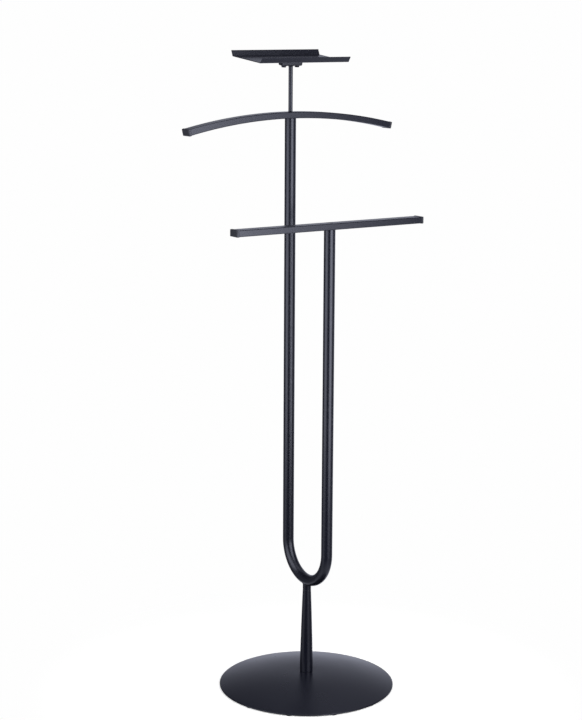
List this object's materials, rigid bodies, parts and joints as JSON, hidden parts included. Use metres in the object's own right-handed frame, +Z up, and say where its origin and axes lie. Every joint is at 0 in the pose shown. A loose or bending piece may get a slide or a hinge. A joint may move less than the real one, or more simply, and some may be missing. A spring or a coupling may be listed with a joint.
{
  "type": "valet stand",
  "caption": "Floor-standing clothes valet: round domed foot, U-bent tube, arched jacket hanger, straight trouser bar and a shallow tray on top.",
  "frame": {"origin": "on the floor under the middle of the foot plate", "axes": "+X along the hanger and the trouser bar, +Y to the back (the hanger's side), +Z up"},
  "size_m": [0.4494, 0.335, 1.209],
  "materials": {
    "powder_coat": "satin black powder coat",
    "cap_plastic": "moulded black polyethylene",
    "pad_foam": "black closed-cell foam",
    "zinc_steel": "zinc plated",
    "black_zinc": "black zinc plated"
  },
  "bodies": {
    "root": {"base_plate": "powder_coat", "base_pads": "pad_foam", "foot_screw": "zinc_steel", "stem": "powder_coat", "stem_foot_plug": "zinc_steel", "stem_head_plug": "zinc_steel", "joining_stud": "zinc_steel", "neck": "powder_coat", "u_tube": "powder_coat", "rear_arm_plug": "zinc_steel", "front_arm_plug": "zinc_steel", "hanger_bar": "powder_coat", "hanger_cap_left": "cap_plastic", "hanger_cap_right": "cap_plastic", "trouser_bar": "powder_coat", "trouser_cap_left": "cap_plastic", "trouser_cap_right": "cap_plastic", "trouser_screw": "zinc_steel", "trouser_cover": "cap_plastic", "tray_rod": "powder_coat", "tray_bracket": "powder_coat", "tray": "powder_coat", "tray_studs": "black_zinc", "tray_washers": "black_zinc", "tray_nuts": "black_zinc"}
  },
  "joints": []
}
